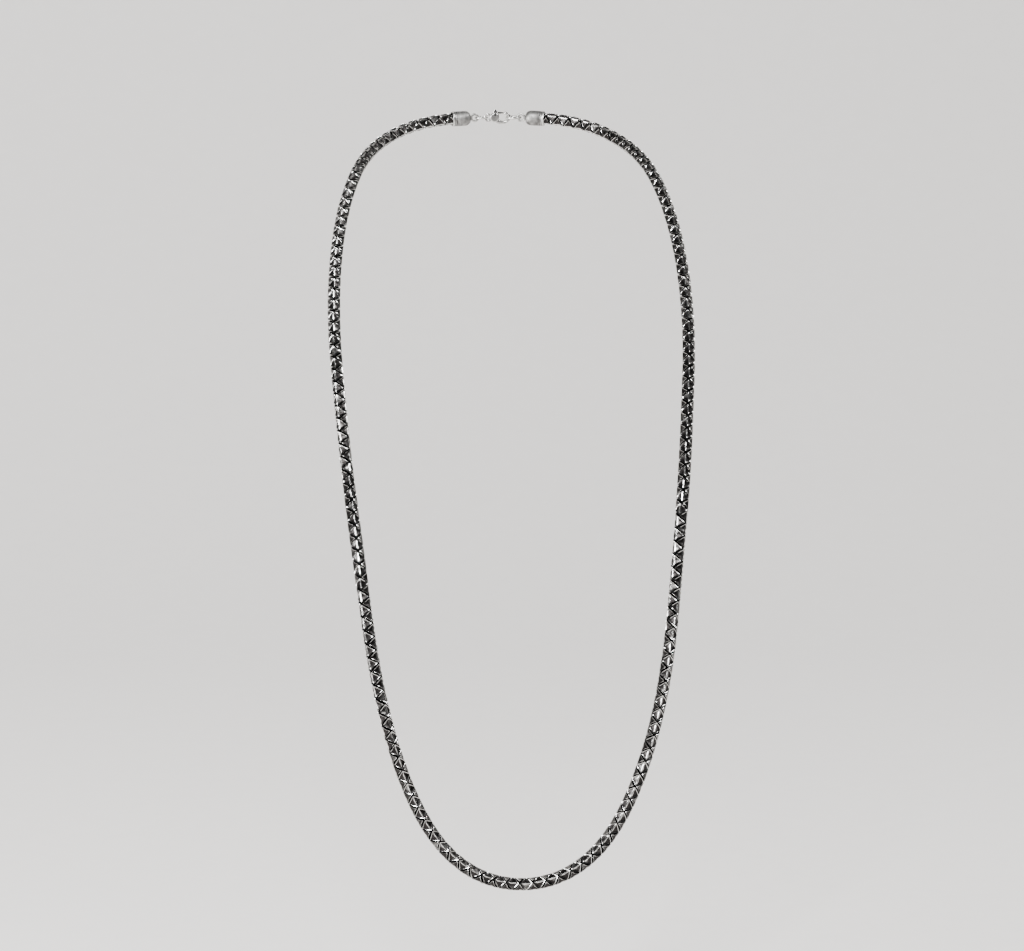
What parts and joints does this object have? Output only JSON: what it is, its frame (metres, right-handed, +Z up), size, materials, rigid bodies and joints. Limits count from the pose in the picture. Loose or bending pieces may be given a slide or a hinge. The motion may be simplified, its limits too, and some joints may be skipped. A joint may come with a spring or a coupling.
{
  "type": "chain necklace",
  "caption": "Long, thick necklace chain of overlapping diamond scales in oxidised silver, with a lobster clasp at the nape.",
  "frame": {"origin": "on the chain's centreline at the middle of the nape, inside the clasp", "axes": "+Z up, +X towards the wearer's left shoulder, so to the right in a front view, and -Y out of the wearer's chest"},
  "size_m": [0.1576, 0.2129, 0.3077],
  "materials": {
    "oxidised_silver_chain": "silver, polished on the ridges and blackened in the hollows",
    "cast_silver": "cast silver, lightly oxidised, satin",
    "polished_silver": "polished silver with blackened corners",
    "drawn_silver_wire": "drawn silver wire, satin",
    "spring_steel": "bright spring steel"
  },
  "bodies": {
    "clasp": {"clasp_claw": "polished_silver", "lever_pin": "spring_steel", "lever_spring": "spring_steel"},
    "lever": {"clasp_lever": "polished_silver"},
    "jump_ring": {"jump_ring": "drawn_silver_wire"},
    "catch_ring": {"catch_ring": "drawn_silver_wire"},
    "cap_left": {"end_cap_left": "cast_silver"},
    "cap_right": {"end_cap_right": "cast_silver"},
    "left_01": {"chain_left_01": "oxidised_silver_chain"},
    "left_02": {"chain_left_02": "oxidised_silver_chain"},
    "left_03": {"chain_left_03": "oxidised_silver_chain"},
    "left_04": {"chain_left_04": "oxidised_silver_chain"},
    "left_05": {"chain_left_05": "oxidised_silver_chain"},
    "left_06": {"chain_left_06": "oxidised_silver_chain"},
    "left_07": {"chain_left_07": "oxidised_silver_chain"},
    "left_08": {"chain_left_08": "oxidised_silver_chain"},
    "left_09": {"chain_left_09": "oxidised_silver_chain"},
    "left_10": {"chain_left_10": "oxidised_silver_chain"},
    "left_11": {"chain_left_11": "oxidised_silver_chain"},
    "left_12": {"chain_left_12": "oxidised_silver_chain"},
    "left_13": {"chain_left_13": "oxidised_silver_chain"},
    "left_14": {"chain_left_14": "oxidised_silver_chain"},
    "left_15": {"chain_left_15": "oxidised_silver_chain"},
    "left_16": {"chain_left_16": "oxidised_silver_chain"},
    "left_17": {"chain_left_17": "oxidised_silver_chain"},
    "left_18": {"chain_left_18": "oxidised_silver_chain"},
    "left_19": {"chain_left_19": "oxidised_silver_chain"},
    "left_20": {"chain_left_20": "oxidised_silver_chain"},
    "left_21": {"chain_left_21": "oxidised_silver_chain"},
    "left_22": {"chain_left_22": "oxidised_silver_chain"},
    "right_01": {"chain_right_01": "oxidised_silver_chain"},
    "right_02": {"chain_right_02": "oxidised_silver_chain"},
    "right_03": {"chain_right_03": "oxidised_silver_chain"},
    "right_04": {"chain_right_04": "oxidised_silver_chain"},
    "right_05": {"chain_right_05": "oxidised_silver_chain"},
    "right_06": {"chain_right_06": "oxidised_silver_chain"},
    "right_07": {"chain_right_07": "oxidised_silver_chain"},
    "right_08": {"chain_right_08": "oxidised_silver_chain"},
    "right_09": {"chain_right_09": "oxidised_silver_chain"},
    "right_10": {"chain_right_10": "oxidised_silver_chain"},
    "right_11": {"chain_right_11": "oxidised_silver_chain"},
    "right_12": {"chain_right_12": "oxidised_silver_chain"},
    "right_13": {"chain_right_13": "oxidised_silver_chain"},
    "right_14": {"chain_right_14": "oxidised_silver_chain"},
    "right_15": {"chain_right_15": "oxidised_silver_chain"},
    "right_16": {"chain_right_16": "oxidised_silver_chain"},
    "right_17": {"chain_right_17": "oxidised_silver_chain"},
    "right_18": {"chain_right_18": "oxidised_silver_chain"},
    "right_19": {"chain_right_19": "oxidised_silver_chain"},
    "right_20": {"chain_right_20": "oxidised_silver_chain"},
    "right_21": {"chain_right_21": "oxidised_silver_chain"},
    "right_22": {"chain_right_22": "oxidised_silver_chain"}
  },
  "joints": [
    {"name": "cap_left_nape_bend", "type": "hinge", "parent": "clasp", "child": "cap_left", "pos_m": [-0.00749, 0.00047, 0.00017], "axis": [0, 0, 1], "range_deg": [-1.9, 1.9]},
    {"name": "left_01_nape_bend", "type": "hinge", "parent": "cap_left", "child": "left_01", "pos_m": [-0.01789, -0.00127, -0.0001], "axis": [0, 0, 1], "range_deg": [-1.9, 1.9]},
    {"name": "left_02_nape_bend", "type": "hinge", "parent": "left_01", "child": "left_02", "pos_m": [-0.03601, -0.00903, -0.00192], "axis": [0, 0, 1], "range_deg": [-6, 6]},
    {"name": "left_03_nape_bend", "type": "hinge", "parent": "left_02", "child": "left_03", "pos_m": [-0.0502, -0.02216, -0.00641], "axis": [0, 0, 1], "range_deg": [-2.4, 2.4]},
    {"name": "left_04_lift", "type": "hinge", "parent": "left_03", "child": "left_04", "pos_m": [-0.05967, -0.03857, -0.0124], "axis": [-1, 0, 0], "range_deg": [0, 10], "stiffness_Nm_per_rad": 0.2, "springref_deg": 15.56},
    {"name": "left_05_lift", "type": "hinge", "parent": "left_04", "child": "left_05", "pos_m": [-0.06599, -0.05559, -0.0205], "axis": [1, 0, 0], "range_deg": [-10, 0], "stiffness_Nm_per_rad": 0.2, "springref_deg": -13.24},
    {"name": "left_06_lift", "type": "hinge", "parent": "left_05", "child": "left_06", "pos_m": [-0.07077, -0.07093, -0.03229], "axis": [-1, 0, 0], "range_deg": [0, 10], "stiffness_Nm_per_rad": 0.2, "springref_deg": 11.27},
    {"name": "left_07_sway", "type": "hinge", "parent": "left_06", "child": "left_07", "pos_m": [-0.07378, -0.08581, -0.0452], "axis": [0, 0.76, -0.65], "range_deg": [-6.3, 6.3], "stiffness_Nm_per_rad": 0.05, "springref_deg": -4.98},
    {"name": "left_08_sway", "type": "hinge", "parent": "left_07", "child": "left_08", "pos_m": [-0.07545, -0.10003, -0.05907], "axis": [0, 0.76, -0.65], "range_deg": [-3.8, 3.8], "stiffness_Nm_per_rad": 0.05, "springref_deg": -5.56},
    {"name": "left_09_sway", "type": "hinge", "parent": "left_08", "child": "left_09", "pos_m": [-0.07601, -0.11354, -0.07372], "axis": [0, 0.76, -0.65], "range_deg": [-1.8, 1.8], "stiffness_Nm_per_rad": 0.05, "springref_deg": -5.74},
    {"name": "left_10_sway", "type": "hinge", "parent": "left_09", "child": "left_10", "pos_m": [-0.07552, -0.12643, -0.08892], "axis": [0, 0.76, -0.65], "range_deg": [-3.8, 3.8], "stiffness_Nm_per_rad": 0.05, "springref_deg": -5.6},
    {"name": "left_11_sway", "type": "hinge", "parent": "left_10", "child": "left_11", "pos_m": [-0.07422, -0.1375, -0.10544], "axis": [0, 0.76, -0.65], "range_deg": [-8, 8], "stiffness_Nm_per_rad": 0.05, "springref_deg": -5.24},
    {"name": "left_12_lift", "type": "hinge", "parent": "left_11", "child": "left_12", "pos_m": [-0.07265, -0.14824, -0.12217], "axis": [1, 0, 0], "range_deg": [-10, 0], "stiffness_Nm_per_rad": 0.2, "springref_deg": -3.22},
    {"name": "left_13_lift", "type": "hinge", "parent": "left_12", "child": "left_13", "pos_m": [-0.07083, -0.15869, -0.13905], "axis": [-1, 0, 0], "range_deg": [0, 10], "stiffness_Nm_per_rad": 0.2, "springref_deg": 2.42},
    {"name": "left_14_lift", "type": "hinge", "parent": "left_13", "child": "left_14", "pos_m": [-0.0687, -0.16838, -0.15635], "axis": [1, 0, 0], "range_deg": [-10, 0], "stiffness_Nm_per_rad": 0.2, "springref_deg": -1.75},
    {"name": "left_15_lift", "type": "hinge", "parent": "left_14", "child": "left_15", "pos_m": [-0.06643, -0.17729, -0.17404], "axis": [-1, 0, 0], "range_deg": [0, 10], "stiffness_Nm_per_rad": 0.2, "springref_deg": 1.19},
    {"name": "left_16_lift", "type": "hinge", "parent": "left_15", "child": "left_16", "pos_m": [-0.06409, -0.18574, -0.19194], "axis": [1, 0, 0], "range_deg": [-10, 0], "stiffness_Nm_per_rad": 0.2, "springref_deg": -0.73},
    {"name": "left_17_chest_bend", "type": "hinge", "parent": "left_16", "child": "left_17", "pos_m": [-0.06123, -0.19248, -0.21048], "axis": [0, 0.9757, -0.219], "range_deg": [-5, 5], "stiffness_Nm_per_rad": 0.05, "springref_deg": -3.52},
    {"name": "left_18_chest_bend", "type": "hinge", "parent": "left_17", "child": "left_18", "pos_m": [-0.0573, -0.19768, -0.22931], "axis": [0, 0.9757, -0.219], "range_deg": [-10, 10], "stiffness_Nm_per_rad": 0.05, "springref_deg": -2.9},
    {"name": "left_19_chest_bend", "type": "hinge", "parent": "left_18", "child": "left_19", "pos_m": [-0.05193, -0.20103, -0.24821], "axis": [0, 0.9757, -0.219], "range_deg": [-5.1, 5.1], "stiffness_Nm_per_rad": 0.05, "springref_deg": -2.23},
    {"name": "left_20_hem_bend", "type": "hinge", "parent": "left_19", "child": "left_20", "pos_m": [-0.04468, -0.20326, -0.26664], "axis": [0, 0.9968, -0.0797], "range_deg": [-4.3, 4.3], "stiffness_Nm_per_rad": 0.05, "springref_deg": -1.56},
    {"name": "left_21_hem_bend", "type": "hinge", "parent": "left_20", "child": "left_21", "pos_m": [-0.03437, -0.20477, -0.28358], "axis": [0, 0.9968, -0.0797], "range_deg": [-10, 10], "stiffness_Nm_per_rad": 0.05, "springref_deg": -0.84},
    {"name": "left_22_hem_bend", "type": "hinge", "parent": "left_21", "child": "left_22", "pos_m": [-0.0192, -0.20569, -0.2963], "axis": [0, 0.9968, -0.0797], "range_deg": [-5.8, 5.8], "stiffness_Nm_per_rad": 0.05, "springref_deg": -0.22},
    {"name": "cap_right_nape_bend", "type": "hinge", "parent": "clasp", "child": "cap_right", "pos_m": [0.00694, 0.00047, 0.00017], "axis": [0, 0, 1], "range_deg": [-1.9, 1.9]},
    {"name": "right_01_nape_bend", "type": "hinge", "parent": "cap_right", "child": "right_01", "pos_m": [0.01789, -0.00127, -0.0001], "axis": [0, 0, 1], "range_deg": [-1.9, 1.9]},
    {"name": "right_02_nape_bend", "type": "hinge", "parent": "right_01", "child": "right_02", "pos_m": [0.03601, -0.00903, -0.00192], "axis": [0, 0, 1], "range_deg": [-6, 6]},
    {"name": "right_03_nape_bend", "type": "hinge", "parent": "right_02", "child": "right_03", "pos_m": [0.0502, -0.02216, -0.00641], "axis": [0, 0, 1], "range_deg": [-2.4, 2.4]},
    {"name": "right_04_lift", "type": "hinge", "parent": "right_03", "child": "right_04", "pos_m": [0.05967, -0.03857, -0.0124], "axis": [-1, 0, 0], "range_deg": [0, 10], "stiffness_Nm_per_rad": 0.2, "springref_deg": 15.82},
    {"name": "right_05_lift", "type": "hinge", "parent": "right_04", "child": "right_05", "pos_m": [0.06599, -0.05559, -0.0205], "axis": [1, 0, 0], "range_deg": [-10, 0], "stiffness_Nm_per_rad": 0.2, "springref_deg": -13.48},
    {"name": "right_06_lift", "type": "hinge", "parent": "right_05", "child": "right_06", "pos_m": [0.07077, -0.07093, -0.03229], "axis": [-1, 0, 0], "range_deg": [0, 10], "stiffness_Nm_per_rad": 0.2, "springref_deg": 11.48},
    {"name": "right_07_sway", "type": "hinge", "parent": "right_06", "child": "right_07", "pos_m": [0.07378, -0.08581, -0.0452], "axis": [0, 0.76, -0.65], "range_deg": [-6.3, 6.3], "stiffness_Nm_per_rad": 0.05, "springref_deg": 5.31},
    {"name": "right_08_sway", "type": "hinge", "parent": "right_07", "child": "right_08", "pos_m": [0.07545, -0.10003, -0.05907], "axis": [0, 0.76, -0.65], "range_deg": [-3.8, 3.8], "stiffness_Nm_per_rad": 0.05, "springref_deg": 5.9},
    {"name": "right_09_sway", "type": "hinge", "parent": "right_08", "child": "right_09", "pos_m": [0.07601, -0.11354, -0.07372], "axis": [0, 0.76, -0.65], "range_deg": [-1.8, 1.8], "stiffness_Nm_per_rad": 0.05, "springref_deg": 6.08},
    {"name": "right_10_sway", "type": "hinge", "parent": "right_09", "child": "right_10", "pos_m": [0.07552, -0.12643, -0.08892], "axis": [0, 0.76, -0.65], "range_deg": [-3.8, 3.8], "stiffness_Nm_per_rad": 0.05, "springref_deg": 5.94},
    {"name": "right_11_sway", "type": "hinge", "parent": "right_10", "child": "right_11", "pos_m": [0.07422, -0.1375, -0.10544], "axis": [0, 0.76, -0.65], "range_deg": [-8, 8], "stiffness_Nm_per_rad": 0.05, "springref_deg": 5.56},
    {"name": "right_12_lift", "type": "hinge", "parent": "right_11", "child": "right_12", "pos_m": [0.07265, -0.14824, -0.12217], "axis": [1, 0, 0], "range_deg": [-10, 0], "stiffness_Nm_per_rad": 0.2, "springref_deg": -3.31},
    {"name": "right_13_lift", "type": "hinge", "parent": "right_12", "child": "right_13", "pos_m": [0.07083, -0.15869, -0.13905], "axis": [-1, 0, 0], "range_deg": [0, 10], "stiffness_Nm_per_rad": 0.2, "springref_deg": 2.49},
    {"name": "right_14_lift", "type": "hinge", "parent": "right_13", "child": "right_14", "pos_m": [0.0687, -0.16838, -0.15635], "axis": [1, 0, 0], "range_deg": [-10, 0], "stiffness_Nm_per_rad": 0.2, "springref_deg": -1.8},
    {"name": "right_15_lift", "type": "hinge", "parent": "right_14", "child": "right_15", "pos_m": [0.06643, -0.17729, -0.17404], "axis": [-1, 0, 0], "range_deg": [0, 10], "stiffness_Nm_per_rad": 0.2, "springref_deg": 1.24},
    {"name": "right_16_lift", "type": "hinge", "parent": "right_15", "child": "right_16", "pos_m": [0.06409, -0.18574, -0.19194], "axis": [1, 0, 0], "range_deg": [-10, 0], "stiffness_Nm_per_rad": 0.2, "springref_deg": -0.76},
    {"name": "right_17_chest_bend", "type": "hinge", "parent": "right_16", "child": "right_17", "pos_m": [0.06123, -0.19248, -0.21048], "axis": [0, 0.9757, -0.219], "range_deg": [-5, 5], "stiffness_Nm_per_rad": 0.05, "springref_deg": 3.86},
    {"name": "right_18_chest_bend", "type": "hinge", "parent": "right_17", "child": "right_18", "pos_m": [0.0573, -0.19768, -0.22931], "axis": [0, 0.9757, -0.219], "range_deg": [-10, 10], "stiffness_Nm_per_rad": 0.05, "springref_deg": 3.23},
    {"name": "right_19_chest_bend", "type": "hinge", "parent": "right_18", "child": "right_19", "pos_m": [0.05193, -0.20103, -0.24821], "axis": [0, 0.9757, -0.219], "range_deg": [-5.1, 5.1], "stiffness_Nm_per_rad": 0.05, "springref_deg": 2.52},
    {"name": "right_20_hem_bend", "type": "hinge", "parent": "right_19", "child": "right_20", "pos_m": [0.04468, -0.20326, -0.26664], "axis": [0, 0.9968, -0.0797], "range_deg": [-4.3, 4.3], "stiffness_Nm_per_rad": 0.05, "springref_deg": 1.81},
    {"name": "right_21_hem_bend", "type": "hinge", "parent": "right_20", "child": "right_21", "pos_m": [0.03437, -0.20477, -0.28358], "axis": [0, 0.9968, -0.0797], "range_deg": [-10, 10], "stiffness_Nm_per_rad": 0.05, "springref_deg": 1.03},
    {"name": "right_22_hem_bend", "type": "hinge", "parent": "right_21", "child": "right_22", "pos_m": [0.0192, -0.20569, -0.2963], "axis": [0, 0.9968, -0.0797], "range_deg": [-5.8, 5.8], "stiffness_Nm_per_rad": 0.05, "springref_deg": 0.33},
    {"name": "lever_open", "type": "hinge", "parent": "clasp", "child": "lever", "pos_m": [-0.00129, 0.00047, 0.00137], "axis": [0, 1, 0], "range_deg": [0, 22], "stiffness_Nm_per_rad": 0.002},
    {"name": "jump_ring_roll", "type": "hinge", "parent": "clasp", "child": "jump_ring", "pos_m": [-0.00749, 0.00047, 0.00017], "axis": [1, 0, 0], "range_deg": [-15, 15]},
    {"name": "catch_ring_roll", "type": "hinge", "parent": "clasp", "child": "catch_ring", "pos_m": [0.00694, 0.00047, 0.00017], "axis": [1, 0, 0], "range_deg": [-15, 15]}
  ],
  "couplings": [
    {"joint": "cap_left_nape_bend", "follows": "left_02_nape_bend", "ratio": -0.30186},
    {"joint": "left_01_nape_bend", "follows": "left_02_nape_bend", "ratio": -0.30186},
    {"joint": "left_03_nape_bend", "follows": "left_02_nape_bend", "ratio": -0.39628},
    {"joint": "left_07_sway", "follows": "left_11_sway", "ratio": -0.78734},
    {"joint": "left_08_sway", "follows": "left_11_sway", "ratio": -0.4724},
    {"joint": "left_09_sway", "follows": "left_11_sway", "ratio": -0.21266},
    {"joint": "left_10_sway", "follows": "left_11_sway", "ratio": 0.4724},
    {"joint": "left_17_chest_bend", "follows": "left_18_chest_bend", "ratio": -0.49557},
    {"joint": "left_19_chest_bend", "follows": "left_18_chest_bend", "ratio": -0.50443},
    {"joint": "left_20_hem_bend", "follows": "left_21_hem_bend", "ratio": -0.42863},
    {"joint": "left_22_hem_bend", "follows": "left_21_hem_bend", "ratio": -0.57137},
    {"joint": "cap_right_nape_bend", "follows": "left_02_nape_bend", "ratio": 0.30186},
    {"joint": "right_01_nape_bend", "follows": "left_02_nape_bend", "ratio": 0.30186},
    {"joint": "right_02_nape_bend", "follows": "left_02_nape_bend", "ratio": -1},
    {"joint": "right_03_nape_bend", "follows": "left_02_nape_bend", "ratio": 0.39628},
    {"joint": "right_04_lift", "follows": "left_04_lift", "ratio": 1},
    {"joint": "right_05_lift", "follows": "left_05_lift", "ratio": 1},
    {"joint": "right_06_lift", "follows": "left_06_lift", "ratio": 1},
    {"joint": "right_07_sway", "follows": "left_11_sway", "ratio": -0.78734},
    {"joint": "right_08_sway", "follows": "left_11_sway", "ratio": -0.4724},
    {"joint": "right_09_sway", "follows": "left_11_sway", "ratio": -0.21266},
    {"joint": "right_10_sway", "follows": "left_11_sway", "ratio": 0.4724},
    {"joint": "right_11_sway", "follows": "left_11_sway", "ratio": 1},
    {"joint": "right_12_lift", "follows": "left_12_lift", "ratio": 1},
    {"joint": "right_13_lift", "follows": "left_13_lift", "ratio": 1},
    {"joint": "right_14_lift", "follows": "left_14_lift", "ratio": 1},
    {"joint": "right_15_lift", "follows": "left_15_lift", "ratio": 1},
    {"joint": "right_16_lift", "follows": "left_16_lift", "ratio": 1},
    {"joint": "right_17_chest_bend", "follows": "left_18_chest_bend", "ratio": 0.49557},
    {"joint": "right_18_chest_bend", "follows": "left_18_chest_bend", "ratio": -1},
    {"joint": "right_19_chest_bend", "follows": "left_18_chest_bend", "ratio": 0.50443},
    {"joint": "right_20_hem_bend", "follows": "left_21_hem_bend", "ratio": 0.42863},
    {"joint": "right_21_hem_bend", "follows": "left_21_hem_bend", "ratio": -1},
    {"joint": "right_22_hem_bend", "follows": "left_21_hem_bend", "ratio": 0.57137}
  ]
}
